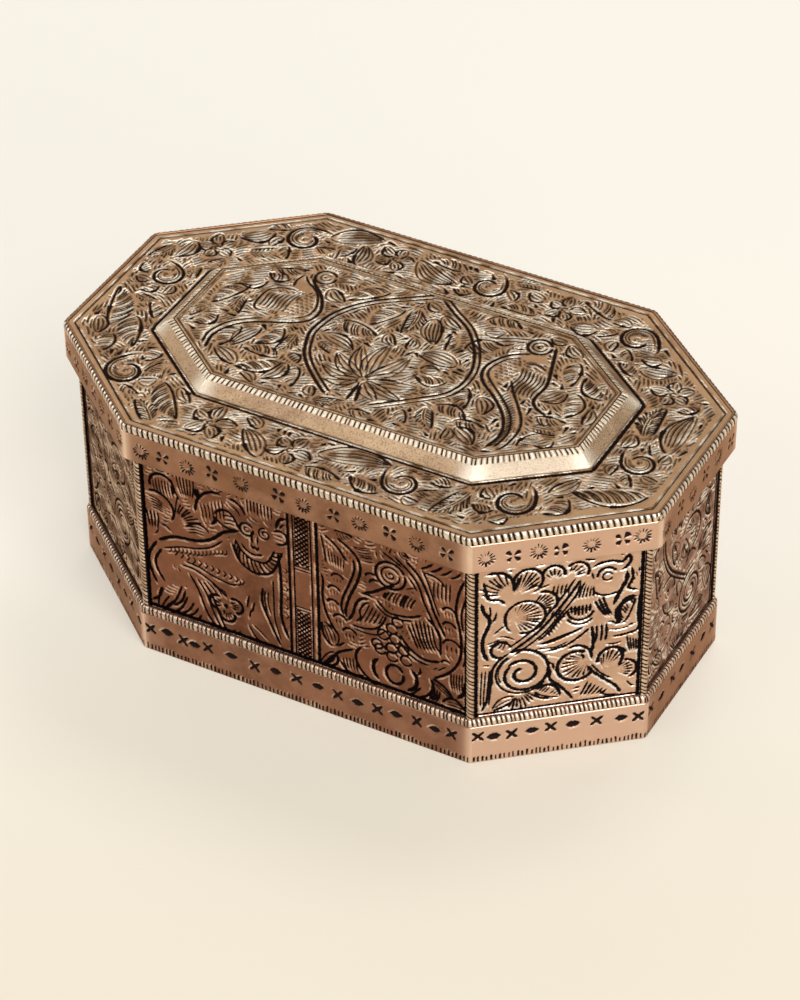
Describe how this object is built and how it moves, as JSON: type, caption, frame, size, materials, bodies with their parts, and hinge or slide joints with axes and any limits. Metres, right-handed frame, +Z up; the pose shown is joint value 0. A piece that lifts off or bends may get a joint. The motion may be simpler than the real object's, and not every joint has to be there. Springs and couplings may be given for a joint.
{
  "type": "turkish delight box",
  "caption": "Chased copper sweet box: long eight-sided body on a stepped plinth, with an overhanging hinged lid that carries a raised panel.",
  "frame": {"origin": "middle of the foot, on the table", "axes": "+X along the box's length, -Y to the front, +Z up"},
  "size_m": [0.2, 0.1248, 0.0919],
  "materials": {
    "body_copper": "chased copper outside, tinned inside",
    "base_copper": "copper sheet, tinned on the upper side",
    "plinth_copper": "punched copper, dark in the stamps",
    "skirt_copper": "punched copper, dark in the stamps",
    "milled_copper": "milled wire, worn bright on its ridges",
    "lid_copper": "chased copper with a brassy brown patina outside, tinned inside",
    "hinge_brass": "plain brass sheet, lightly worn",
    "pin_steel": "bright steel wire",
    "rivet_copper": "hammered copper rivet heads"
  },
  "bodies": {
    "box": {"body_wall": "body_copper", "base_plate": "base_copper", "plinth_band": "plinth_copper", "plinth_wire": "milled_copper", "corner_bead_1": "milled_copper", "corner_bead_2": "milled_copper", "corner_bead_3": "milled_copper", "corner_bead_4": "milled_copper", "corner_bead_5": "milled_copper", "corner_bead_6": "milled_copper", "corner_bead_7": "milled_copper", "corner_bead_8": "milled_copper", "hinge_left_body_leaf": "hinge_brass", "hinge_left_pin": "pin_steel", "hinge_left_body_rivets": "rivet_copper", "hinge_right_body_leaf": "hinge_brass", "hinge_right_pin": "pin_steel", "hinge_right_body_rivets": "rivet_copper"},
    "lid": {"lid_plate": "lid_copper", "lid_wire": "milled_copper", "lid_skirt": "skirt_copper", "raised_panel": "lid_copper", "hinge_left_lid_leaf": "hinge_brass", "hinge_left_lid_rivets": "rivet_copper", "hinge_right_lid_leaf": "hinge_brass", "hinge_right_lid_rivets": "rivet_copper"}
  },
  "joints": [
    {"name": "lid_hinge", "type": "hinge", "parent": "box", "child": "lid", "pos_m": [0, 0.06, 0.07599], "axis": [-1, 0, 0], "range_deg": [0, 100]}
  ]
}
